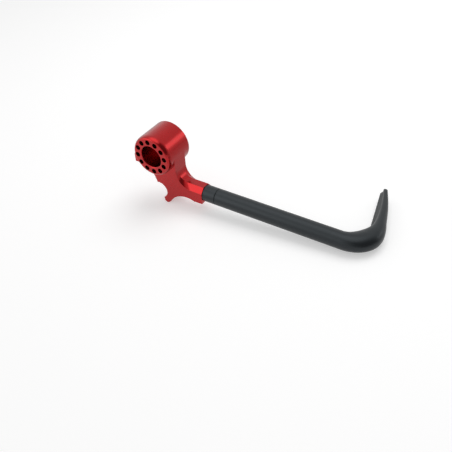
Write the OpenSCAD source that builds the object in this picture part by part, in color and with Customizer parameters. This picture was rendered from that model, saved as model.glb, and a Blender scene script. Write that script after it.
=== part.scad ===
// Brake lever guard for a handlebar end. A milled aluminium housing carries a
// ring-drilled drum on the bar axis and a socket block below it; a moulded arm,
// a spacer ring and one long screw finish it.
// Frame: the origin is the centre of the drum's outer face, +X runs along the
// arm, +Y along the bar towards the grip, +Z is up.

/* [Drum] */
// Outer diameter of the drum
drum_d = 36.2; // [33:0.1:40]
// Length of the drum along the bar axis
drum_len = 29.5; // [26:0.1:36]
// Diameter of the flat outer face inside the shoulder
face_d = 32.0; // [31.8:0.1:32.6]
// Length of the rounded shoulder behind the outer face
shoulder_len = 4.8; // [2:0.1:6]
// Chamfer on the drum's inner end
drum_end_chamfer = 0.8; // [0.3:0.1:2]
// Diameter of the bolt pocket in the outer face
pocket_d = 19.6; // [17:0.1:20.4]
// Depth of the bolt pocket, down to the web
pocket_depth = 20; // [16:0.5:22]
// Diameter of the bolt hole through the web
bolt_hole_d = 8.6; // [6.4:0.1:12.6]
// Edge break at the mouths of the pocket and of the bolt hole
bore_chamfer = 0.5; // [0.2:0.1:0.8]

/* [Hole ring] */
// Number of holes in the ring
ring_holes = 12; // [6:1:14]
// Pitch circle diameter of the holes
ring_pcd = 27.0; // [26.4:0.1:27.4]
// Diameter of each hole
ring_hole_d = 4.5; // [3:0.1:4.6]
// Depth of each hole
ring_hole_depth = 9; // [3:0.5:14]
// Turn of the first hole from the arm direction
ring_phase = 5.7; // [0:0.1:29.9]

/* [Neck plate] */
// Distance of the plate's outer face behind the drum's outer face
plate_y = 7.2; // [6.5:0.1:9]
// Thickness of the plate
plate_t = 14.6; // [14:0.1:16]
// Distance of the neck's straight inner side from the bar axis
neck_x = 18.1; // [17:0.1:18.1]
// Radius of the blend from the neck down to the block's top
neck_fillet = 9; // [6:0.5:11]
// Distance of the screw axis below the bar axis
arm_drop = 30.6; // [29:0.1:33]

/* [Socket block] */
// Distance of the block's end face from the bar axis
block_end = 42.4; // [40:0.1:50]
// Height of the block
block_h = 14.6; // [14.2:0.1:16]
// Height of the sloped facets along the block's upper edges
facet_h = 4.4; // [2:0.1:5]
// Depth of the sloped facets into the block
facet_t = 3.8; // [2:0.1:5]
// Radius of the blend where the facets run up the neck
facet_fillet = 14; // [12:0.5:16]

/* [Scallops and spur] */
// Radius of the scallop behind the screw head
heel_scallop_r = 7.8; // [6:0.1:8.4]
// Radius of the long scallop under the plate
belly_scallop_r = 20.3; // [18:0.1:22]
// Thickness of plate left above the long scallop, below the screw axis
belly_web = 6.1; // [5:0.1:6.6]
// Distance of the spur's tip below the bar axis
spur_drop = 49.6; // [47.5:0.1:52]
// Width of the flat at the spur's tip
spur_flat = 1.4; // [1:0.1:3]

/* [Stop lug] */
// Distance of the lug's outer side from the bar axis
lug_x = 24; // [21:0.1:26]
// Distance of the lug's lower side below the bar axis
lug_drop = 15.6; // [12:0.1:17]
// Height of the lug's outer side
lug_h = 7.5; // [5:0.1:10]

/* [Spacer ring] */
// Length of the spacer ring
spacer_len = 11.6; // [6:0.1:20]
// Edge break at both ends of the spacer ring
spacer_chamfer = 0.4; // [0.2:0.1:1]

/* [Arm] */
// Outer diameter of the arm and the spacer ring
arm_d = 14.1; // [13:0.1:14.2]
// Length of the straight part of the arm
arm_straight = 108; // [80:1:160]
// Edge break at the arm's seam with the spacer ring
arm_chamfer = 0.4; // [0.2:0.1:1]
// Radius of the bend at the arm's centre line
bend_r = 21.2; // [18:0.1:32]
// Angle of the bend
bend_angle = 104.7; // [90:0.1:125]
// Extra width of the section in the middle of the bend
bend_swell = 6.5; // [0:0.1:7.2]
// Outward shift of the section in the middle of the bend
bend_shift = 0.2; // [0:0.1:0.8]

/* [Hook] */
// Length of the hook after the bend
hook_len = 47; // [36:0.5:65]
// Width of the section at the end of the bend
hook_w = 10.4; // [9:0.1:12]
// Width of the hook near its tip
tip_w = 3.3; // [2.6:0.1:6]
// Height of the hook near its tip
tip_h = 8; // [7:0.1:10]
// Length over which the tip is rounded
tip_round = 3.2; // [2:0.1:5]
// Outward bow of the hook halfway to its tip
hook_bow = 1.6; // [0:0.1:2]
// Reach of the flange inside the centre line, at the end of the bend
flange_w = 6.6; // [5.8:0.1:7.6]
// Reach of the flange inside the centre line, at the tip
flange_tip_w = 3.5; // [2.6:0.1:4.8]
// Thickness of the flange
flange_t = 2.6; // [1.8:0.1:3.4]
// Height of the flange's underside above the hook's
flange_rise = 0.4; // [0.3:0.1:1]

/* [Screw and insert] */
// Thread diameter of the arm screw
screw_d = 6; // [5:0.5:6]
// Length of the arm screw under its head
screw_len = 52; // [50:1:56]
// Diameter of the screw's head
screw_head_d = 10; // [9:0.1:10.2]
// Height of the screw's head
screw_head_h = 6; // [5:0.1:6.2]
// Key size of the screw's hexagon socket
screw_key = 5; // [4:1:5]
// Depth of the hexagon socket
screw_key_depth = 3; // [2:0.1:4]
// Length of the brass insert in the arm
insert_len = 14; // [12:0.5:18]
// Outer diameter of the brass insert
insert_d = 9; // [8:0.1:9.6]
// Depth of the grooves round the insert
insert_groove = 0.5; // [0.3:0.1:0.7]

/* [Fits] */
// Diametral clearance of the screw in its holes
screw_clearance = 0.4; // [0.2:0.1:0.8]
// Diametral clearance of the screw's head in its pocket
head_clearance = 0.6; // [0.4:0.1:0.8]
// Diametral clearance of the insert in the arm and of the thread
insert_clearance = 0.1; // [0.06:0.02:0.2]

/* [Hidden] */
$fn = 96;
eps = 0.02;
arm_y = plate_y + plate_t / 2;
plate_back = plate_y + plate_t;
arm_start = block_end + spacer_len;
block_top = -arm_drop + block_h / 2;
block_bottom = -arm_drop - block_h / 2;
// The screw's head seats in a pocket bored from the heel scallop
heel_x = -1.35;
heel_z = -38.2;
head_seat = heel_x + heel_scallop_r + screw_head_h;
// Long scallop under the plate, its top one web below the screw axis
belly_x = 27;
belly_z = -arm_drop - belly_web - belly_scallop_r;
neck_left = 3.1;
neck_left_drop = 29.6;
spur_x = 3.2;
// Bend and hook
bend_x = arm_start + arm_straight;
bend_len = bend_r * bend_angle * PI / 180;
loft_len = bend_len + hook_len;
swell_power = 1.4;
hook_taper = 0.65;
bow_lead = 5;
section_sides = 48;
bend_steps = 14;
hook_steps = 8;
tip_steps = 5;

// Shape helpers

module along_y(from, to) {
    translate([0, to, 0]) rotate([90, 0, 0]) linear_extrude(to - from) children();
}

module turned_y() {
    rotate([-90, 0, 0]) rotate_extrude() children();
}

module on_arm(x) {
    translate([x, arm_y, -arm_drop]) rotate([0, 90, 0]) children();
}

// Quarter-round corner region, open towards +X and +Z
module corner_region(left, bottom, r, far) {
    translate([left + r, bottom + r]) circle(r);
    translate([left + r, bottom]) square([far, far]);
    translate([left, bottom + r]) square([far, far]);
}

// Housing

module drum_profile() {
    r = drum_d / 2;
    f = face_d / 2;
    shoulder = [for (a = [0:18:90]) [f + (r - f) * sin(a), shoulder_len * (1 - cos(a))]];
    polygon(concat(
        [[0, 0]],
        shoulder,
        [[r, drum_len - drum_end_chamfer], [r - drum_end_chamfer, drum_len], [0, drum_len]]
    ));
}

// Half section of the bolt pocket and the bolt hole, with broken edges
module bolt_profile() {
    r = pocket_d / 2;
    b = bolt_hole_d / 2;
    c = bore_chamfer;
    polygon([
        [0, -1], [r + c + 1, -1], [r, c], [r, pocket_depth], [b, pocket_depth],
        [b, drum_len - c], [b + c + 1, drum_len + 1], [0, drum_len + 1]
    ]);
}

module plate_outline() {
    difference() {
        union() {
            polygon([
                [0, 0], [-drum_d / 4, 0], [-drum_d / 4, -drum_d * 0.42],
                [-neck_left, -neck_left_drop], [-neck_left, heel_z],
                [spur_x - 1, -spur_drop + 4.4], [spur_x, -spur_drop + 1],
                [spur_x + 1.8, -spur_drop], [spur_x + 1.8 + spur_flat, -spur_drop],
                [spur_x + 5.4 + spur_flat, -spur_drop + 3.2],
                [belly_x + 8, -spur_drop + 6], [belly_x + 8, block_bottom],
                [block_end, block_bottom], [block_end, block_top],
                [neck_x, block_top], [neck_x, 0]
            ]);
            difference() {
                translate([neck_x - eps, block_top - eps])
                    square([neck_fillet + eps, neck_fillet + eps]);
                translate([neck_x + neck_fillet, block_top + neck_fillet]) circle(neck_fillet);
            }
        }
        translate([heel_x, heel_z]) circle(heel_scallop_r);
        translate([belly_x, belly_z]) circle(belly_scallop_r);
    }
}

module lug_outline() {
    polygon([
        [-lug_x, -lug_drop], [-lug_x, -lug_drop + lug_h],
        [-drum_d * 0.46, 2], [-pocket_d / 2 - 1, 2], [-pocket_d / 2 - 1, -lug_drop]
    ]);
}

// Sloped facet that fades out up the neck, for the outer side
module facet_cut() {
    far = block_end;
    hull() {
        along_y(plate_y - eps, plate_y)
            corner_region(neck_x + eps, block_top - facet_h, facet_fillet, far);
        along_y(plate_y + facet_t - eps, plate_y + facet_t)
            corner_region(neck_x + eps, block_top + eps, neck_fillet, far);
    }
}

module housing() {
    color("#b3262e") difference() {
        union() {
            turned_y() drum_profile();
            along_y(plate_y, plate_back) {
                plate_outline();
                lug_outline();
            }
        }
        // Bolt pocket down to the web, and the bolt hole through it
        turned_y() bolt_profile();
        // Ring of holes in the outer face
        for (i = [0:ring_holes - 1])
            rotate([0, -ring_phase - i * 360 / ring_holes, 0])
                translate([ring_pcd / 2, 0, 0])
                    along_y(-1, ring_hole_depth) circle(d = ring_hole_d, $fn = 32);
        // Facets on the outer and the inner side
        facet_cut();
        translate([0, 2 * arm_y, 0]) mirror([0, 1, 0]) facet_cut();
        // Screw hole and head pocket
        on_arm(-drum_d) cylinder(d = screw_d + screw_clearance, h = drum_d + block_end + 1);
        on_arm(-drum_d) cylinder(d = screw_head_d + head_clearance, h = drum_d + head_seat);
    }
}

// Spacer ring

module spacer_ring() {
    r = arm_d / 2;
    c = spacer_chamfer;
    color("#3a3d3f") on_arm(block_end) rotate_extrude() difference() {
        polygon([[0, 0], [r - c, 0], [r, c], [r, spacer_len - c],
            [r - c, spacer_len], [0, spacer_len]]);
        translate([0, -1]) square([(screw_d + screw_clearance) / 2, spacer_len + 2]);
    }
}

// Arm, bend and hook

// Distances along the loft are measured from the start of the bend
// Share of the way from a to b, held to 0..1
function share(s, a, b) = min(1, max(0, (s - a) / (b - a)));
function heading(s) = bend_angle * share(s, 0, bend_len);
function loft_point(s) =
    let (a = heading(s), rest = max(0, s - bend_len))
    [bend_x + min(0, s) + bend_r * sin(a) + rest * cos(a),
     arm_y + bend_r * (1 - cos(a)) + rest * sin(a),
     -arm_drop];
function loft_w(s) = s < bend_len
    ? arm_d - (arm_d - hook_w) * share(s, 0, bend_len)
        + bend_swell * pow(sin(180 * share(s, 0, bend_len)), swell_power)
    : hook_w - (hook_w - tip_w) * pow(share(s, bend_len, loft_len), hook_taper);
function loft_h(s) = arm_d - (arm_d - tip_h) * pow(share(s, bend_len * 0.7, loft_len), 1.3);
function loft_power(s) = 2 - 0.9 * share(s, bend_len * 0.3, loft_len - tip_round);
function end_scale(s) = s <= -arm_straight
    ? 1 - 2 * arm_chamfer / arm_d
    : let (u = share(s, loft_len - tip_round, loft_len)) sqrt(1 - 0.96 * u * u);
function section_shift(s) = bend_shift * sin(180 * share(s, 0, bend_len))
    + hook_bow * sin(180 * share(s, bend_len - bow_lead, loft_len));
function signed_pow(v, p) = sign(v) * pow(abs(v), p);
// One ring of the loft, across the heading
function loft_ring(s) =
    let (p = loft_point(s), a = heading(s), k = end_scale(s), e = loft_power(s) / 2,
         c = section_shift(s), w = loft_w(s) / 2 * k, h = loft_h(s) / 2 * k)
    [for (i = [0:section_sides - 1])
        let (t = 360 * i / section_sides,
             u = c + w * signed_pow(cos(t), e), v = h * signed_pow(sin(t), e))
        [p[0] + u * sin(a), p[1] - u * cos(a), p[2] + v]];
function skin_faces(n, rings) = concat(
    [[for (i = [n - 1:-1:0]) i]],
    [for (j = [0:rings - 2], i = [0:n - 1]) [j * n + i, j * n + (i + 1) % n, (j + 1) * n + i]],
    [for (j = [0:rings - 2], i = [0:n - 1])
        [j * n + (i + 1) % n, (j + 1) * n + (i + 1) % n, (j + 1) * n + i]],
    [[for (i = [0:n - 1]) (rings - 1) * n + i]]
);

module arm_loft() {
    stops = concat(
        [-arm_straight, -arm_straight + arm_chamfer],
        [for (i = [0:bend_steps]) bend_len * i / bend_steps],
        [for (i = [1:hook_steps]) bend_len + (hook_len - tip_round) * i / hook_steps],
        [for (i = [1:tip_steps]) loft_len - tip_round * (1 - sin(90 * i / tip_steps))]
    );
    rings = [for (s = stops) loft_ring(s)];
    polyhedron(
        points = [for (r = rings) for (p = r) p],
        faces = skin_faces(section_sides, len(rings)),
        convexity = 6
    );
}

// Flange along the hook's inner side: its free edge runs straight from inside the
// bend to the tip
module hook_flange() {
    root = -0.58 * bend_r;
    base = loft_point(bend_len);
    function reach(r) = flange_w - (flange_w - flange_tip_w) * r / hook_len;
    // Slice across the hook at a distance from the bend's end
    module slice(r, from, short) {
        rise = flange_rise - loft_h(bend_len + max(0, r)) / 2;
        translate([base[0] + r * cos(bend_angle), base[1] + r * sin(bend_angle), base[2] + rise])
            rotate([0, 0, bend_angle]) translate([-eps, from, 0])
                cube([eps, reach(r) - short - from, flange_t]);
    }
    hull() {
        slice(root, arm_d / 5, 0);
        slice(0, -bend_shift, 0);
        slice(hook_len - 2.2, -bend_shift, 0);
        slice(hook_len - 0.9, -bend_shift, 0.7);
        slice(hook_len - 0.3, -bend_shift, 1.8);
    }
}

module guard_arm() {
    color("#3a3d3f") difference() {
        union() {
            arm_loft();
            hook_flange();
        }
        // Pocket for the insert, with room for the screw's end behind it
        on_arm(arm_start - 1)
            cylinder(d = insert_d + insert_clearance, h = insert_len + 1);
        on_arm(arm_start)
            cylinder(d = screw_d + screw_clearance, h = insert_len + 4);
    }
}

// Fasteners

module arm_screw() {
    c = 0.5;
    color("#55585b") on_arm(head_seat) difference() {
        rotate_extrude() polygon([
            [0, -screw_head_h], [screw_head_d / 2 - c, -screw_head_h],
            [screw_head_d / 2, -screw_head_h + c], [screw_head_d / 2, 0], [screw_d / 2, 0],
            [screw_d / 2, screw_len - 2 * c], [screw_d / 2 - 2 * c, screw_len], [0, screw_len]
        ]);
        // Hexagon socket
        translate([0, 0, -screw_head_h - 1])
            cylinder(d = screw_key / cos(30), h = screw_key_depth + 1, $fn = 6);
    }
}

module threaded_insert() {
    r = insert_d / 2;
    b = (screw_d + insert_clearance) / 2;
    n = 4;
    step = insert_len / (2 * n + 1);
    color("#b08d3e") on_arm(arm_start) rotate_extrude() polygon(concat(
        [[b, 0]],
        [for (i = [0:n - 1]) each [[r, 2 * i * step], [r, (2 * i + 1) * step],
            [r - insert_groove, (2 * i + 1.2) * step], [r - insert_groove, (2 * i + 1.8) * step]]],
        [[r, 2 * n * step], [r, insert_len], [b, insert_len]]
    ));
}

housing();
spacer_ring();
guard_arm();
arm_screw();
threaded_insert();
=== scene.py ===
"""Brake lever guard for a handlebar end, dressed for rendering.

A milled and anodised housing holds a round arm by a spacer ring and one long screw. The arm bends
into a tapered hook with a flange along its inner side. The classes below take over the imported
solids or model them anew at the same places and sizes, break and round their edges as milling and
moulding do, and give each piece its finish.
"""

import logging
import math
from collections.abc import Callable
from dataclasses import dataclass
from enum import Enum

import bmesh
import bpy
from mathutils import Matrix, Vector


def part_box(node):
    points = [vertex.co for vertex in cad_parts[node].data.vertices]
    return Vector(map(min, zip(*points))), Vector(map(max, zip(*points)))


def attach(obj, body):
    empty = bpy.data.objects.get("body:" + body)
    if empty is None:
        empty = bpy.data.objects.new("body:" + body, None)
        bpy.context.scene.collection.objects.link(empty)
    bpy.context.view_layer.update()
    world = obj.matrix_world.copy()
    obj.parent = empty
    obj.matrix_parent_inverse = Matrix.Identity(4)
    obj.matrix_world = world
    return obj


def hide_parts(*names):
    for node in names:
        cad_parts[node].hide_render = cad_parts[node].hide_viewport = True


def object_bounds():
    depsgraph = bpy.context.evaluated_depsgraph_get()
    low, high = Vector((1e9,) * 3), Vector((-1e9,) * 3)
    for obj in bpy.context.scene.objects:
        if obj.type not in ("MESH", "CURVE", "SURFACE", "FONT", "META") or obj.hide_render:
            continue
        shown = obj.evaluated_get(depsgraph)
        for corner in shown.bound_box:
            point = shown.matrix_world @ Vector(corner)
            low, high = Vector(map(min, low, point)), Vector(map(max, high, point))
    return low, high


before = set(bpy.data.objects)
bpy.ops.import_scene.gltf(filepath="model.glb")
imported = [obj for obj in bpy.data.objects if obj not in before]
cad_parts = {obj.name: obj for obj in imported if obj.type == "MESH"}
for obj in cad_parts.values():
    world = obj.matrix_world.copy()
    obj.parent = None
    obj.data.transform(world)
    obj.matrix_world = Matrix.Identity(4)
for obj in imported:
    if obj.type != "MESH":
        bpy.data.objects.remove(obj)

logging.basicConfig(level=logging.INFO, format="%(message)s")
LOG = logging.getLogger("lever_guard")

BODY = "root"
CAD_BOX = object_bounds()

Colour = tuple[float, float, float, float]
UP = Vector((0, 0, 1))
EVEN_STRETCH = Vector((1, 1, 1))
NOISE_ROUGHNESS = 0.55
BEVEL_SAMPLES = 4


class Slot(Enum):
    """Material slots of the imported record."""

    RED_ANODISED = "red_anodised"
    BLACK_NYLON = "black_nylon"
    BLACK_STEEL = "black_steel"
    BRASS = "brass"


class Rays(Enum):
    """Light Path outputs that the studio's backdrop answers to."""

    CAMERA = "Is Camera Ray"
    GLOSSY = "Is Glossy Ray"


def grey(level: float) -> Colour:
    """A neutral colour of that linear level."""
    return (level, level, level, 1.0)


def direction(azimuth_deg: float, elevation_deg: float) -> Vector:
    """Unit vector that points to an azimuth from +X and an elevation above the horizon."""
    a, e = math.radians(azimuth_deg), math.radians(elevation_deg)
    return Vector((math.cos(a) * math.cos(e), math.sin(a) * math.cos(e), math.sin(e)))


def node_box(node: str) -> tuple[Vector, Vector]:
    """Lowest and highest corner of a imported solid."""
    low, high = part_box(node)
    return Vector(low), Vector(high)


def deselect_all() -> None:
    """Leaves object mode's selection empty."""
    bpy.ops.object.select_all(action="DESELECT")


def make_active(obj: bpy.types.Object) -> None:
    """Selects one object alone and makes it active.

    Args:
        obj: The object to select.
    """
    deselect_all()
    obj.select_set(True)
    bpy.context.view_layer.objects.active = obj


@dataclass(frozen=True)
class MixSockets:
    """Positions of the Mix node's sockets for one kind of data."""

    low: int
    high: int
    result: int


class MixKind(Enum):
    """What a Mix node blends, by its data type."""

    FLOAT = MixSockets(low=2, high=3, result=0)
    RGBA = MixSockets(low=6, high=7, result=2)


class NodeSheet:
    """A small builder for a material's or the world's nodes."""

    def __init__(self, tree: bpy.types.NodeTree) -> None:
        """Empties the tree.

        Args:
            tree: The node tree to fill.
        """
        self.tree = tree
        self.tree.nodes.clear()

    def add(self, kind: str, **values: object) -> bpy.types.Node:
        """Adds a node and sets its properties and input sockets by name.

        Args:
            kind: Blender's node type.
            **values: Properties of the node, or input sockets with underscores for spaces.

        Returns:
            The new node.
        """
        node = self.tree.nodes.new(kind)
        for key, value in values.items():
            if hasattr(node, key):
                setattr(node, key, value)
            else:
                node.inputs[key.replace("_", " ")].default_value = value
        return node

    def link(self, source: bpy.types.NodeSocket, target: bpy.types.NodeSocket) -> None:
        """Joins an output socket to an input socket."""
        self.tree.links.new(source, target)

    def feed(self, target: bpy.types.NodeSocket, value: object) -> None:
        """Joins an output socket to an input socket, or sets the input to a constant."""
        if isinstance(value, bpy.types.NodeSocket):
            self.link(value, target)
        else:
            target.default_value = value

    def mix(self, kind: MixKind, factor: object, low: object, high: object) -> bpy.types.NodeSocket:
        """Blends two colours or two levels.

        Args:
            kind: Whether colours or levels are blended.
            factor: Share of the high one, as a socket or a constant.
            low: What shows where the factor is 0.
            high: What shows where the factor is 1.

        Returns:
            The blend.
        """
        node = self.add("ShaderNodeMix", data_type=kind.name)
        self.feed(node.inputs[0], factor)
        self.feed(node.inputs[kind.value.low], low)
        self.feed(node.inputs[kind.value.high], high)
        return node.outputs[kind.value.result]

    def object_noise(
        self, scale: float, detail: float, stretch: Vector = EVEN_STRETCH
    ) -> bpy.types.NodeSocket:
        """A noise pattern fixed to the object.

        Args:
            scale: Waves per metre.
            detail: Octaves of finer noise.
            stretch: Scale of the pattern along each axis.

        Returns:
            The noise's factor output.
        """
        place = self.add("ShaderNodeTexCoord")
        turn = self.add("ShaderNodeMapping")
        turn.inputs["Scale"].default_value = stretch
        noise = self.add(
            "ShaderNodeTexNoise", Scale=scale, Detail=detail, Roughness=NOISE_ROUGHNESS
        )
        self.link(place.outputs["Object"], turn.inputs["Vector"])
        self.link(turn.outputs["Vector"], noise.inputs["Vector"])
        return noise.outputs["Fac"]

    def between(
        self, factor: bpy.types.NodeSocket, low: float, high: float
    ) -> bpy.types.NodeSocket:
        """Maps a 0..1 pattern to a range.

        Args:
            factor: The pattern.
            low: Value where the pattern is 0.
            high: Value where the pattern is 1.

        Returns:
            The mapped value.
        """
        span = self.add("ShaderNodeMapRange", clamp=True)
        span.inputs["To Min"].default_value = low
        span.inputs["To Max"].default_value = high
        self.link(factor, span.inputs["Value"])
        return span.outputs["Result"]

    def edge_wear_and_highlight(
        self, reach: float, full_lean: float, pattern: bpy.types.NodeSocket
    ) -> bpy.types.NodeSocket:
        """Finds edges for a lighter colour: worn edges and a painted edge highlight.

        Args:
            reach: How far from an edge the worn look and painted highlight go, in metres.
            full_lean: The edge mask is complete where the cosine between the rounded and the true
            normal has dropped by this much.
            pattern: The 0..1 pattern that breaks the edge mask up.

        Returns:
            The edge mask for the worn look and painted highlight, from 0 on a face to 1 on an edge.
        """
        rounded = self.add("ShaderNodeBevel", samples=BEVEL_SAMPLES, Radius=reach)
        flat = self.add("ShaderNodeNewGeometry")
        along = self.add("ShaderNodeVectorMath", operation="DOT_PRODUCT")
        self.link(rounded.outputs["Normal"], along.inputs[0])
        self.link(flat.outputs["Normal"], along.inputs[1])
        edge = self.add("ShaderNodeMapRange", clamp=True)
        edge.inputs["From Min"].default_value = 1.0
        edge.inputs["From Max"].default_value = 1.0 - full_lean
        self.link(along.outputs["Value"], edge.inputs["Value"])
        broken = self.add("ShaderNodeMath", operation="MULTIPLY")
        self.link(edge.outputs["Result"], broken.inputs[0])
        self.link(self.between(pattern, 0.0, 1.0), broken.inputs[1])
        return broken.outputs["Value"]

    def bump(self, height: bpy.types.NodeSocket, distance: float) -> bpy.types.NodeSocket:
        """Turns a pattern into a surface relief.

        Args:
            height: The pattern.
            distance: Depth of the relief in metres.

        Returns:
            The bumped normal.
        """
        relief = self.add("ShaderNodeBump", Strength=1.0, Distance=distance)
        self.link(height, relief.inputs["Height"])
        return relief.outputs["Normal"]


@dataclass(frozen=True)
class AnodisedRed:
    """Satin milled aluminium under a clear red anodic layer."""

    deep: Colour = (0.355, 0.001, 0.002, 1.0)
    light: Colour = (0.39, 0.003, 0.005, 1.0)
    # Lighter red for the edges: worn edges and a painted edge highlight.
    worn_highlit_edge: Colour = (0.62, 0.035, 0.04, 1.0)
    satin: float = 0.24
    worn: float = 0.30
    film: float = 0.45
    film_roughness: float = 0.12
    film_index: float = 1.5
    cloud: float = 90.0
    cloud_detail: float = 3.0
    grain: float = 2600.0
    grain_detail: float = 2.0
    grain_depth: float = 0.0000025
    wear_and_highlight_reach: float = 0.0003
    wear_and_highlight_lean: float = 0.12

    def material(self) -> bpy.types.Material:
        """Builds the finish.

        Returns:
            The material.
        """
        made = bpy.data.materials.new("anodised red aluminium")
        made.use_nodes = True
        sheet = NodeSheet(made.node_tree)
        out = sheet.add("ShaderNodeOutputMaterial")
        skin = sheet.add(
            "ShaderNodeBsdfPrincipled",
            Metallic=1.0,
            Coat_Weight=self.film,
            Coat_Roughness=self.film_roughness,
            Coat_IOR=self.film_index,
        )
        cloud = sheet.object_noise(self.cloud, self.cloud_detail)
        speck = sheet.object_noise(self.grain, self.grain_detail)
        dyed = sheet.mix(MixKind.RGBA, cloud, self.deep, self.light)
        # Lighter red on the edges, both as worn edges and as a painted edge highlight.
        wear_and_highlight = sheet.edge_wear_and_highlight(self.wear_and_highlight_reach, self.wear_and_highlight_lean, cloud)
        sheet.link(sheet.mix(MixKind.RGBA, wear_and_highlight, dyed, self.worn_highlit_edge), skin.inputs["Base Color"])
        sheet.link(sheet.between(cloud, self.satin, self.worn), skin.inputs["Roughness"])
        sheet.link(sheet.bump(speck, self.grain_depth), skin.inputs["Normal"])
        sheet.link(skin.outputs["BSDF"], out.inputs["Surface"])
        return made


@dataclass(frozen=True)
class MouldedBlack:
    """Fine-textured black nylon, as it leaves a spark-eroded mould."""

    deep: Colour = (0.006, 0.0072, 0.0088, 1.0)
    light: Colour = (0.010, 0.0116, 0.0134, 1.0)
    sheen: Colour = (0.86, 0.95, 1.0, 1.0)
    index: float = 1.43
    smooth: float = 0.30
    dull: float = 0.40
    cloud: float = 60.0
    grain: float = 2200.0
    detail: float = 3.0
    grain_depth: float = 0.000006

    def material(self) -> bpy.types.Material:
        """Builds the finish.

        Returns:
            The material.
        """
        made = bpy.data.materials.new("moulded black nylon")
        made.use_nodes = True
        sheet = NodeSheet(made.node_tree)
        out = sheet.add("ShaderNodeOutputMaterial")
        skin = sheet.add("ShaderNodeBsdfPrincipled", IOR=self.index, Specular_Tint=self.sheen)
        cloud = sheet.object_noise(self.cloud, self.detail)
        speck = sheet.object_noise(self.grain, self.detail)
        dyed = sheet.mix(MixKind.RGBA, cloud, self.deep, self.light)
        sheet.link(dyed, skin.inputs["Base Color"])
        sheet.link(sheet.between(speck, self.smooth, self.dull), skin.inputs["Roughness"])
        sheet.link(sheet.bump(speck, self.grain_depth), skin.inputs["Normal"])
        sheet.link(skin.outputs["BSDF"], out.inputs["Surface"])
        return made


@dataclass(frozen=True)
class TurnedMetal:
    """A turned metal with faint tool rings round the arm's axis."""

    name: str
    deep: Colour
    light: Colour
    roughness: float
    rough_spread: float = 0.12
    rings: float = 9000.0
    ring_detail: float = 2.0
    ring_depth: float = 0.000004
    ring_stretch: float = 0.02

    def material(self) -> bpy.types.Material:
        """Builds the finish.

        Returns:
            The material.
        """
        made = bpy.data.materials.new(self.name)
        made.use_nodes = True
        sheet = NodeSheet(made.node_tree)
        out = sheet.add("ShaderNodeOutputMaterial")
        skin = sheet.add("ShaderNodeBsdfPrincipled", Metallic=1.0)
        stretch = Vector((1, self.ring_stretch, self.ring_stretch))
        rings = sheet.object_noise(self.rings, self.ring_detail, stretch)
        dyed = sheet.mix(MixKind.RGBA, rings, self.deep, self.light)
        rough = sheet.between(rings, self.roughness, self.roughness + self.rough_spread)
        sheet.link(dyed, skin.inputs["Base Color"])
        sheet.link(rough, skin.inputs["Roughness"])
        sheet.link(sheet.bump(rings, self.ring_depth), skin.inputs["Normal"])
        sheet.link(skin.outputs["BSDF"], out.inputs["Surface"])
        return made


def share(value: float, start: float, end: float) -> float:
    """Share of the way from start to end, held to 0..1."""
    return min(1.0, max(0.0, (value - start) / (end - start)))


def select_where(test: Callable[[Vector], bool]) -> None:
    """Selects the active mesh's vertices whose place passes a test, in edit mode.

    Args:
        test: Tells whether a vertex place is wanted.
    """
    bpy.ops.mesh.select_all(action="DESELECT")
    mesh = bmesh.from_edit_mesh(bpy.context.edit_object.data)
    for vert in mesh.verts:
        vert.select_set(test(vert.co))
    mesh.select_flush_mode()
    bmesh.update_edit_mesh(bpy.context.edit_object.data)


def apply_modifier(piece: bpy.types.Object, kind: str, **values: object) -> None:
    """Adds one modifier to a piece and applies it.

    Args:
        piece: The object to change.
        kind: Blender's modifier type.
        **values: The modifier's properties.
    """
    make_active(piece)
    modifier = piece.modifiers.new(kind.lower(), kind)
    for key, value in values.items():
        setattr(modifier, key, value)
    bpy.ops.object.modifier_apply(modifier=modifier.name)


def combine(piece: bpy.types.Object, tool: bpy.types.Object, operation: str) -> None:
    """Joins a tool to a piece or cuts it away, and removes the tool.

    Args:
        piece: The object to change.
        tool: The object that is added or cut away.
        operation: UNION or DIFFERENCE.
    """
    apply_modifier(piece, "BOOLEAN", object=tool, operation=operation, solver="EXACT")
    bpy.data.objects.remove(tool)


def rod(radius: float, start: Vector, length: float, sides: int = 64) -> bpy.types.Object:
    """A plain round rod along +X, to shape or to cut with.

    Args:
        radius: Radius of the rod.
        start: Middle of its first end.
        length: Length along +X.
        sides: Number of sides.

    Returns:
        The rod.
    """
    deselect_all()
    bpy.ops.mesh.primitive_cylinder_add(
        vertices=sides,
        radius=radius,
        depth=length,
        location=start + Vector((length / 2, 0, 0)),
        rotation=(0, math.pi / 2, 0),
    )
    return bpy.context.object


def skin(sections: list[bpy.types.Object], name: str) -> bpy.types.Object:
    """Joins drawn sections and skins them, from the first to the last, into a closed body.

    Args:
        sections: Objects that each hold one closed outline, all with as many points.
        name: Name of the body.

    Returns:
        The body, with its origin and axes those of the scene.
    """
    make_active(sections[0])
    for section in sections:
        section.select_set(True)
    bpy.ops.object.join()
    body = bpy.context.object
    body.name = name
    bpy.ops.object.transform_apply(location=True, rotation=True, scale=True)
    bpy.ops.object.mode_set(mode="EDIT")
    bpy.ops.mesh.select_all(action="SELECT")
    bpy.ops.mesh.bridge_edge_loops(type="SINGLE")
    bpy.ops.mesh.select_all(action="SELECT")
    bpy.ops.mesh.fill_holes(sides=0)
    bpy.ops.mesh.select_all(action="SELECT")
    bpy.ops.mesh.normals_make_consistent(inside=False)
    bpy.ops.object.mode_set(mode="OBJECT")
    return body


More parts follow.
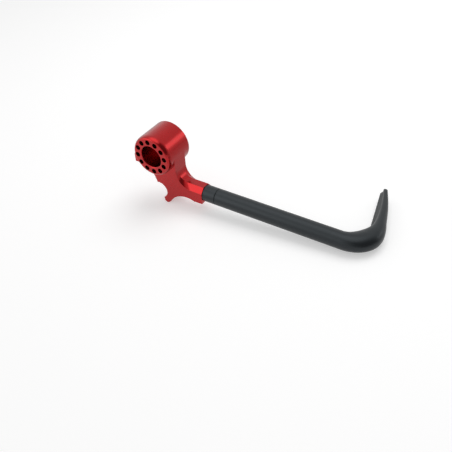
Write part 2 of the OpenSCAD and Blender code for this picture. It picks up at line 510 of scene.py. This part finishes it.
@dataclass(frozen=True)
class HookedArm:
    """Round arm that swells into a bend and tapers to a hook with an inner flange.

    Lengths along the arm are measured from the start of the bend. The sizes repeat those of
    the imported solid, apart from the web between flange and hook and the tip's lean.
    """

    straight: float = 0.108
    bend_radius: float = 0.0212
    bend_angle: float = math.radians(104.7)
    swell: float = 0.0065
    swell_power: float = 1.4
    bend_shift: float = 0.0002
    hook: float = 0.047
    hook_width: float = 0.0104
    hook_taper: float = 0.65
    flattening_from: float = 0.7
    flattening_power: float = 1.3
    squaring_from: float = 0.3
    squaring: float = 0.9
    tip_width: float = 0.0033
    tip_height: float = 0.008
    tip_round: float = 0.0032
    tip_fullness: float = 0.96
    bow: float = 0.0016
    bow_lead: float = 0.005
    seam_break: float = 0.0004
    flange_reach: float = 0.0066
    flange_tip_reach: float = 0.0035
    flange_thickness: float = 0.0026
    flange_rise: float = 0.0004
    flange_root: float = 0.0123
    flange_root_share: float = 0.2
    flange_edge: float = 0.00025
    flange_sharp_deg: float = 50.0
    flange_tip: float = 0.0022
    flange_tip_cuts: tuple[tuple[float, float], ...] = ((0.0009, 0.0007), (0.0003, 0.0018))
    web_slope: float = 1.28
    web_cover: float = 0.001
    web_profile: float = 0.22
    smooth_from: float = 0.010
    smooth_to: float = 0.045
    smooth_rounds: int = 8
    insert_gap: float = 0.00005
    screw_radius: float = 0.0032
    screw_room: float = 0.0075
    cut_lead: float = 0.001
    corner_merge: float = 0.0001
    corner_steps: int = 16
    bend_steps: int = 36
    hook_steps: int = 24
    tip_steps: int = 8
    flange_steps: int = 10
    web_steps: int = 6

    @property
    def diameter(self) -> float:
        """Diameter of the straight arm, which is the spacer ring's."""
        low, high = node_box("spacer_ring")
        return high.z - low.z

    @property
    def start(self) -> Vector:
        """Middle of the arm's end face at the spacer ring."""
        low, high = node_box("spacer_ring")
        return Vector((high.x, (low.y + high.y) / 2, (low.z + high.z) / 2))

    @property
    def bend_length(self) -> float:
        """Length of the bend along the centre line."""
        return self.bend_radius * self.bend_angle

    @property
    def length(self) -> float:
        """Length of bend and hook along the centre line."""
        return self.bend_length + self.hook

    def heading(self, s: float) -> float:
        """Angle of the arm's direction from +X."""
        return self.bend_angle * share(s, 0.0, self.bend_length)

    def place(self, s: float) -> Vector:
        """Point of the centre line."""
        a = self.heading(s)
        rest = max(0.0, s - self.bend_length)
        along = self.straight + min(0.0, s) + self.bend_radius * math.sin(a) + rest * math.cos(a)
        aside = self.bend_radius * (1 - math.cos(a)) + rest * math.sin(a)
        return self.start + Vector((along, aside, 0))

    def width(self, s: float) -> float:
        """Width of the section across the arm."""
        if s < self.bend_length:
            u = share(s, 0.0, self.bend_length)
            narrowing = (self.diameter - self.hook_width) * u
            swelling = self.swell * max(0.0, math.sin(math.pi * u)) ** self.swell_power
            return self.diameter - narrowing + swelling
        u = share(s, self.bend_length, self.length)
        return self.hook_width - (self.hook_width - self.tip_width) * u**self.hook_taper

    def height(self, s: float) -> float:
        """Height of the section."""
        u = share(s, self.bend_length * self.flattening_from, self.length)
        return self.diameter - (self.diameter - self.tip_height) * u**self.flattening_power

    def corner_profile(self, s: float) -> float:
        """Bevel profile that turns a square into the section: 0.5 round, more is squarer."""
        first = self.bend_length * self.squaring_from
        power = 2 - self.squaring * share(s, first, self.length - self.tip_round)
        return 2 ** (-power / 2)

    def end_scale(self, s: float) -> float:
        """Scale of the section where the arm's ends are rounded."""
        if s <= -self.straight:
            return 1 - 2 * self.seam_break / self.diameter
        u = share(s, self.length - self.tip_round, self.length)
        return math.sqrt(1 - self.tip_fullness * u * u)

    def side_shift(self, s: float) -> float:
        """Outward shift of the section: the bend's, the hook's bow, and inwards at the tip."""
        bend = self.bend_shift * math.sin(math.pi * share(s, 0.0, self.bend_length))
        lead = self.bend_length - self.bow_lead
        bow = self.bow * math.sin(math.pi * share(s, lead, self.length))
        tip = self.width(s) / 2 * (1 - self.end_scale(s)) if s > 0 else 0.0
        return bend + bow - tip

    def draw_section(self, s: float) -> bpy.types.Object:
        """Draws one section: a square bevelled to its outline, sized, turned and placed.

        Args:
            s: Length along the arm.

        Returns:
            The section's outline.
        """
        a = self.heading(s)
        out = Vector((math.sin(a), -math.cos(a), 0))
        turn = Matrix((out, UP, out.cross(UP))).transposed().to_euler()
        deselect_all()
        bpy.ops.mesh.primitive_plane_add(
            size=1, location=self.place(s) + out * self.side_shift(s), rotation=turn
        )
        k = self.end_scale(s)
        bpy.ops.object.mode_set(mode="EDIT")
        bpy.ops.mesh.select_all(action="SELECT")
        bpy.ops.mesh.bevel(
            offset=0.5,
            segments=self.corner_steps,
            profile=self.corner_profile(s),
            affect="VERTICES",
        )
        bpy.ops.mesh.select_all(action="SELECT")
        bpy.ops.mesh.remove_doubles(threshold=self.corner_merge)
        bpy.ops.mesh.delete(type="ONLY_FACE")
        bpy.ops.object.mode_set(mode="OBJECT")
        bpy.context.object.scale = (self.width(s) * k, self.height(s) * k, 1)
        return bpy.context.object

    def stops(self) -> list[float]:
        """Lengths at which the arm's sections are drawn."""
        flank = self.hook - self.tip_round
        bend = [self.bend_length * i / self.bend_steps for i in range(self.bend_steps + 1)]
        hook = [self.bend_length + flank * i / self.hook_steps for i in range(1, self.hook_steps)]
        quarter = math.pi / 2 / self.tip_steps
        tip = [
            self.length - self.tip_round * (1 - math.sin(quarter * i))
            for i in range(self.tip_steps + 1)
        ]
        return [-self.straight, -self.straight + self.seam_break, *bend, *hook, *tip]

    def reach(self, r: float) -> float:
        """How far the flange's free edge lies inside the centre line."""
        return self.flange_reach - (self.flange_reach - self.flange_tip_reach) * r / self.hook

    def draw_flange_section(self, r: float, root: float, cut_back: float) -> bpy.types.Object:
        """Draws the flange's section: flat below, with a hollow web that rises to the hook.

        Args:
            r: Length from the end of the bend.
            root: Distance of the section's buried side inside the centre line.
            cut_back: How much the free edge is cut back at the tip.

        Returns:
            The section's outline.
        """
        s = self.bend_length + max(0.0, r)
        edge = self.reach(r) - cut_back
        body_side = self.width(s) / 2 * self.end_scale(s) - self.side_shift(s)
        web = max(0.0, edge - body_side) + self.web_cover
        tall = self.flange_thickness / self.web_slope + web
        deselect_all()
        bpy.ops.mesh.primitive_plane_add(size=1, location=(0, 0, 0))
        outline = bpy.context.object
        outline.scale = (edge - root, tall, 1)
        bpy.ops.object.transform_apply(location=False, rotation=False, scale=True)
        bpy.ops.object.mode_set(mode="EDIT")
        select_where(lambda place: place.x > 0 and place.y > 0)
        bpy.ops.mesh.bevel(
            offset=web,
            segments=self.web_steps,
            profile=self.web_profile,
            affect="VERTICES",
            clamp_overlap=False,
        )
        bpy.ops.mesh.select_all(action="SELECT")
        bpy.ops.mesh.delete(type="ONLY_FACE")
        bpy.ops.object.mode_set(mode="OBJECT")
        a = self.bend_angle
        ahead = Vector((math.cos(a), math.sin(a), 0))
        inner = Vector((-math.sin(a), math.cos(a), 0))
        height = self.flange_rise - self.height(s) / 2 + tall * self.web_slope / 2
        outline.scale = (1, self.web_slope, 1)
        outline.rotation_euler = Matrix((inner, UP, inner.cross(UP))).transposed().to_euler()
        outline.location = (
            self.place(self.bend_length) + ahead * r + inner * (edge + root) / 2 + UP * height
        )
        return outline

    def build_flange(self) -> bpy.types.Object:
        """Skins the flange, from inside the bend to the hook's tip, and rounds its edges."""
        buried = -self.bend_shift
        flank = self.hook - self.flange_tip
        first_root = self.diameter * self.flange_root_share
        sections = [self.draw_flange_section(-self.flange_root, first_root, 0.0)]
        for i in range(self.flange_steps + 1):
            r = flank * i / self.flange_steps
            sections.append(self.draw_flange_section(r, buried, 0.0))
        for left, cut_back in self.flange_tip_cuts:
            sections.append(self.draw_flange_section(self.hook - left, buried, cut_back))
        flange = skin(sections, "flange")
        apply_modifier(
            flange,
            "BEVEL",
            width=self.flange_edge,
            segments=2,
            limit_method="ANGLE",
            angle_limit=math.radians(self.flange_sharp_deg),
        )
        return flange

    def build(self, name: str) -> bpy.types.Object:
        """Models the arm with its flange and the pocket for the insert and the screw's end.

        Args:
            name: Name of the piece.

        Returns:
            The arm.
        """
        arm = skin([self.draw_section(s) for s in self.stops()], name)
        bpy.ops.object.mode_set(mode="EDIT")
        near, far = self.start.y + self.smooth_from, self.start.y + self.smooth_to
        select_where(lambda place: near < place.y < far)
        bpy.ops.mesh.vertices_smooth(factor=0.5, repeat=self.smooth_rounds)
        bpy.ops.object.mode_set(mode="OBJECT")
        combine(arm, self.build_flange(), "UNION")
        mouth = self.start - Vector((self.cut_lead, 0, 0))
        low, high = node_box("threaded_insert")
        insert_radius = (high.z - low.z) / 2 + self.insert_gap
        combine(arm, rod(insert_radius, mouth, high.x - mouth.x), "DIFFERENCE")
        screw_end = node_box("arm_screw")[1].x + self.screw_room
        combine(arm, rod(self.screw_radius, mouth, screw_end - mouth.x), "DIFFERENCE")
        return arm


@dataclass(frozen=True)
class SpacerRing:
    """Turned ring between housing and arm."""

    chamfer: float = 0.0004
    sharp_deg: float = 60.0
    bore_radius: float = 0.0032
    cut_lead: float = 0.001
    sides: int = 96

    def build(self, name: str) -> bpy.types.Object:
        """Models the ring: a rod with a bore through it and its outer edges rounded.

        Args:
            name: Name of the piece.

        Returns:
            The ring.
        """
        low, high = node_box("spacer_ring")
        start = Vector((low.x, (low.y + high.y) / 2, (low.z + high.z) / 2))
        ring = rod((high.z - low.z) / 2, start, high.x - low.x, self.sides)
        ring.name = name
        bpy.ops.object.transform_apply(location=True, rotation=True, scale=True)
        apply_modifier(
            ring,
            "BEVEL",
            width=self.chamfer,
            segments=3,
            limit_method="ANGLE",
            angle_limit=math.radians(self.sharp_deg),
        )
        mouth = start - Vector((self.cut_lead, 0, 0))
        bore_length = high.x + self.cut_lead - mouth.x
        combine(ring, rod(self.bore_radius, mouth, bore_length), "DIFFERENCE")
        return ring


@dataclass
class FinishedPiece:
    """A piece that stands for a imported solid, either modelled anew or taken over from it.

    A solid that is taken over is merged and its edges are broken. Either kind is shaded smooth.
    Where fades_out is set, the borders of facets that lean from the Y axis are broken too,
    down to the thin end at which they are no longer sharp.
    """

    node: str
    name: str
    slot: Slot
    edge_break: float = 0.00025
    fades_out: bool = False
    sharp_deg: float = 32.0
    smooth_deg: float = 40.0
    level_lean: float = 0.03
    facet_lean: float = 0.1
    weld: float = 0.000001
    flat_deg: float = 0.3

    def take_over(self) -> bpy.types.Object:
        """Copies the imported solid, merges it and breaks its edges.

        Returns:
            The copy.
        """
        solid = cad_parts[self.node]
        piece = bpy.data.objects.new(self.name, solid.data.copy())
        bpy.context.scene.collection.objects.link(piece)
        make_active(piece)
        self.merge()
        if self.edge_break > 0:
            self.break_edges(piece)
        return piece

    def build(
        self, finish: bpy.types.Material, model: HookedArm | SpacerRing | None = None
    ) -> bpy.types.Object:
        """Makes the piece and lets it stand for its solid.

        Args:
            finish: The piece's material.
            model: Models the piece anew, or None to take the solid over.

        Returns:
            The finished piece.
        """
        piece = model.build(self.name) if model else self.take_over()
        self.shade(piece)
        piece.data.materials.clear()
        piece.data.materials.append(finish)
        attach(piece, BODY)
        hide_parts(self.node)
        LOG.info("%s: %d faces", piece.name, len(piece.data.polygons))
        return piece

    def merge(self) -> None:
        """Welds the active copy's loose triangles and joins the flat ones into single faces."""
        bpy.ops.object.mode_set(mode="EDIT")
        bpy.ops.mesh.select_all(action="SELECT")
        bpy.ops.mesh.remove_doubles(threshold=self.weld)
        bpy.ops.mesh.dissolve_limited(angle_limit=math.radians(self.flat_deg))
        bpy.ops.object.mode_set(mode="OBJECT")

    def is_crease(self, edge: bmesh.types.BMEdge) -> bool:
        """Tells whether an edge is sharp or borders a facet that fades out."""
        if len(edge.link_faces) != 2:
            return False
        if edge.calc_face_angle() > math.radians(self.sharp_deg):
            return True
        leans = sorted(abs(face.normal.y) for face in edge.link_faces)
        return self.fades_out and leans[0] < self.level_lean < self.facet_lean < leans[1]

    def break_edges(self, piece: bpy.types.Object) -> None:
        """Rounds the creases."""
        bpy.ops.object.mode_set(mode="EDIT")
        mesh = bmesh.from_edit_mesh(piece.data)
        weight = mesh.edges.layers.float.new("bevel_weight_edge")
        for edge in mesh.edges:
            edge[weight] = 1.0 if self.is_crease(edge) else 0.0
        bmesh.update_edit_mesh(piece.data)
        bpy.ops.object.mode_set(mode="OBJECT")
        apply_modifier(
            piece,
            "BEVEL",
            width=self.edge_break,
            segments=2,
            limit_method="WEIGHT",
            use_clamp_overlap=True,
        )

    def shade(self, piece: bpy.types.Object) -> None:
        """Shades smooth up to the set angle, with normals led by the large faces."""
        make_active(piece)
        bpy.ops.object.shade_smooth_by_angle(angle=math.radians(self.smooth_deg))
        apply_modifier(piece, "WEIGHTED_NORMAL", keep_sharp=True)


@dataclass(frozen=True)
class Patch:
    """A soft-edged round patch of the surround, as polished surfaces see it.

    The angles are in degrees: where its middle is, how far its full level reaches from there,
    and where it ends.
    """

    azimuth: float
    elevation: float
    core: float
    edge: float
    level: float


@dataclass(frozen=True)
class SoftBox:
    """A square studio lamp that faces the object and shows in no reflection."""

    azimuth: float = 95.0
    elevation: float = 68.0
    distance: float = 0.9
    size: float = 0.7
    radiance: float = 2.4

    def build(self, centre: Vector) -> None:
        """Adds the lamp.

        Args:
            centre: The point that it faces.
        """
        way = direction(self.azimuth, self.elevation)
        bpy.ops.object.light_add(type="AREA", location=centre + way * self.distance)
        lamp = bpy.context.object
        lamp.name = "top softbox"
        lamp.rotation_euler = way.to_track_quat("Z", "Y").to_euler()
        lamp.data.shape = "SQUARE"
        lamp.data.size = self.size
        lamp.data.energy = self.radiance * math.pi * self.size**2
        lamp.visible_glossy = False
        lamp.visible_camera = False


@dataclass
class Studio:
    """White floor, one soft lamp, bright surround and the photograph's camera."""

    camera_place: Vector = Vector((0.27672, -0.30676, 0.27481))
    camera_right: Vector = Vector((0.84862, 0.52667, -0.04352))
    camera_up: Vector = Vector((-0.31690, 0.57300, 0.75490))
    focal_length: float = 47.79
    sensor: float = 36.0
    nearest: float = 0.01
    farthest: float = 50.0
    spur_tip: Vector = Vector((0.0057, 0.0, -0.0496))
    bend_bottom: Vector = Vector((0.1850, 0.0, -0.03765))
    floor_half: float = 6.0
    floor_glow: float = 0.42
    floor_matt: float = 0.72
    fill: float = 0.5
    surround: float = 0.98
    near_glow: float = 0.52
    far_glow: float = 0.17
    glow_fades_over: float = 0.06
    patches: tuple[Patch, ...] = (
        Patch(-22.0, 35.0, 30.0, 60.0, 0.2),
        Patch(180.0, 80.0, 16.0, 34.0, 2.1),
        Patch(-136.0, 22.0, 14.0, 32.0, 2.5),
        Patch(45.0, 24.0, 5.0, 13.0, 2.5),
    )

    def add_camera(self) -> None:
        """Creates the camera at the photograph's place and angle."""
        bpy.ops.object.camera_add()
        camera = bpy.context.object
        camera.name = "photo camera"
        right = self.camera_right.normalized()
        back = right.cross(self.camera_up).normalized()
        up = back.cross(right)
        turn = Matrix((right, up, back)).transposed()
        camera.matrix_world = Matrix.Translation(self.camera_place) @ turn.to_4x4()
        camera.data.sensor_width = self.sensor
        camera.data.lens = self.focal_length
        camera.data.clip_start = self.nearest
        camera.data.clip_end = self.farthest
        bpy.context.scene.camera = camera

    def add_floor(self) -> None:
        """Lays the floor under the two places where the part would touch a table."""
        slope = self.bend_bottom - self.spur_tip
        pitch = math.atan2(slope.z, slope.x)
        middle = (self.spur_tip + self.bend_bottom) / 2
        bpy.ops.mesh.primitive_plane_add(
            size=2 * self.floor_half, location=middle, rotation=(0, -pitch, 0)
        )
        floor = bpy.context.object
        floor.name = "studio_floor"
        floor.data.materials.append(self.floor_material())

    def floor_material(self) -> bpy.types.Material:
        """White table that shows white to the camera and in reflections, and keeps shadows.

        Returns:
            The floor's material.
        """
        made = bpy.data.materials.new("studio floor")
        made.use_nodes = True
        sheet = NodeSheet(made.node_tree)
        out = sheet.add("ShaderNodeOutputMaterial")
        matt = sheet.add("ShaderNodeBsdfDiffuse", Color=grey(self.floor_matt))
        glow = sheet.add("ShaderNodeEmission", Color=grey(1.0))
        sheet.link(self.graded_glow(sheet), glow.inputs["Strength"])
        both = sheet.add("ShaderNodeAddShader")
        seen = self.seen_rays(sheet)
        choose = sheet.add("ShaderNodeMixShader")
        sheet.link(matt.outputs[0], both.inputs[0])
        sheet.link(glow.outputs[0], both.inputs[1])
        sheet.link(seen, choose.inputs[0])
        sheet.link(matt.outputs[0], choose.inputs[1])
        sheet.link(both.outputs[0], choose.inputs[2])
        sheet.link(choose.outputs[0], out.inputs["Surface"])
        return made

    def graded_glow(self, sheet: NodeSheet) -> bpy.types.NodeSocket:
        """The floor's glow: even for the camera, and for reflections duller behind the part.

        Args:
            sheet: The node sheet to add to.

        Returns:
            The strength of the glow.
        """
        place = sheet.add("ShaderNodeTexCoord")
        axes = sheet.add("ShaderNodeSeparateXYZ")
        fade = sheet.add("ShaderNodeMapRange", interpolation_type="SMOOTHSTEP")
        fade.inputs["From Min"].default_value = 0.0
        fade.inputs["From Max"].default_value = self.glow_fades_over
        fade.inputs["To Min"].default_value = self.near_glow
        fade.inputs["To Max"].default_value = self.far_glow
        sheet.link(place.outputs["Object"], axes.inputs[0])
        sheet.link(axes.outputs["Y"], fade.inputs["Value"])
        seen = sheet.add("ShaderNodeLightPath").outputs[Rays.CAMERA.value]
        return sheet.mix(MixKind.FLOAT, seen, fade.outputs["Result"], self.floor_glow)

    def seen_rays(self, sheet: NodeSheet) -> bpy.types.NodeSocket:
        """One for rays that show the floor, straight or in a reflection, and 0 for the others.

        Args:
            sheet: The node sheet to add to.

        Returns:
            The higher of the two ray tests.
        """
        path = sheet.add("ShaderNodeLightPath")
        either = sheet.add("ShaderNodeMath", operation="MAXIMUM")
        sheet.link(path.outputs[Rays.CAMERA.value], either.inputs[0])
        sheet.link(path.outputs[Rays.GLOSSY.value], either.inputs[1])
        return either.outputs[0]

    def add_surround(self) -> None:
        """White for the camera, patched for reflections, and a plain fill for what is lit."""
        world = bpy.data.worlds.new("studio surround")
        bpy.context.scene.world = world
        world.use_nodes = True
        sheet = NodeSheet(world.node_tree)
        out = sheet.add("ShaderNodeOutputWorld")
        fill = sheet.add("ShaderNodeBackground", Color=grey(1.0), Strength=self.fill)
        shown = sheet.add("ShaderNodeBackground", Color=grey(1.0), Strength=1.0)
        reflected = sheet.add("ShaderNodeBackground", Strength=1.0)
        path = sheet.add("ShaderNodeLightPath")
        sheet.link(self.patched_surround(sheet), reflected.inputs["Color"])
        lit = sheet.add("ShaderNodeMixShader")
        whole = sheet.add("ShaderNodeMixShader")
        sheet.link(path.outputs[Rays.GLOSSY.value], lit.inputs[0])
        sheet.link(fill.outputs[0], lit.inputs[1])
        sheet.link(reflected.outputs[0], lit.inputs[2])
        sheet.link(path.outputs[Rays.CAMERA.value], whole.inputs[0])
        sheet.link(lit.outputs[0], whole.inputs[1])
        sheet.link(shown.outputs[0], whole.inputs[2])
        sheet.link(whole.outputs[0], out.inputs["Surface"])

    def patched_surround(self, sheet: NodeSheet) -> bpy.types.NodeSocket:
        """The surround as polished surfaces see it: an even level with its patches over it.

        Args:
            sheet: The world's node sheet.

        Returns:
            The surround's colour by direction.
        """
        place = sheet.add("ShaderNodeTexCoord")
        colour = sheet.add("ShaderNodeRGB").outputs[0]
        colour.default_value = grey(self.surround)
        for patch in self.patches:
            near = sheet.add("ShaderNodeVectorMath", operation="DOT_PRODUCT")
            near.inputs[1].default_value = direction(patch.azimuth, patch.elevation)
            cover = sheet.add("ShaderNodeMapRange", interpolation_type="SMOOTHSTEP")
            cover.inputs["From Min"].default_value = math.cos(math.radians(patch.edge))
            cover.inputs["From Max"].default_value = math.cos(math.radians(patch.core))
            sheet.link(place.outputs["Generated"], near.inputs[0])
            sheet.link(near.outputs["Value"], cover.inputs["Value"])
            level = grey(patch.level)
            colour = sheet.mix(MixKind.RGBA, cover.outputs["Result"], colour, level)
        return colour

    def build(self) -> None:
        """Sets the camera, floor, surround and lamp."""
        view = bpy.context.scene.view_settings
        view.view_transform = "Standard"
        self.add_camera()
        self.add_floor()
        self.add_surround()
        SoftBox().build((CAD_BOX[0] + CAD_BOX[1]) / 2)
        LOG.info("studio: %d patches in the surround", len(self.patches))


def build_guard() -> None:
    """Builds and dresses every piece: housing, spacer ring, arm and fasteners."""
    red = AnodisedRed().material()
    nylon = MouldedBlack().material()
    steel = TurnedMetal(
        name="black oxide steel",
        deep=(0.05, 0.05, 0.055, 1.0),
        light=(0.09, 0.09, 0.095, 1.0),
        roughness=0.32,
    ).material()
    brass = TurnedMetal(
        name="turned brass",
        deep=(0.62, 0.42, 0.14, 1.0),
        light=(0.76, 0.56, 0.24, 1.0),
        roughness=0.26,
    ).material()
    housing = FinishedPiece("housing", "milled_housing", Slot.RED_ANODISED, fades_out=True)
    ring = FinishedPiece("spacer_ring", "turned_spacer", Slot.BLACK_NYLON)
    arm = FinishedPiece("guard_arm", "moulded_arm", Slot.BLACK_NYLON)
    screw = FinishedPiece("arm_screw", "socket_screw", Slot.BLACK_STEEL, edge_break=0.00015)
    insert = FinishedPiece("threaded_insert", "brass_insert", Slot.BRASS, edge_break=0.0)
    housing.build(red)
    ring.build(nylon, SpacerRing())
    arm.build(nylon, HookedArm())
    screw.build(steel)
    insert.build(brass)


def main() -> None:
    """Builds the studio and the object."""
    Studio().build()
    build_guard()


if __name__ == "__main__":
    main()
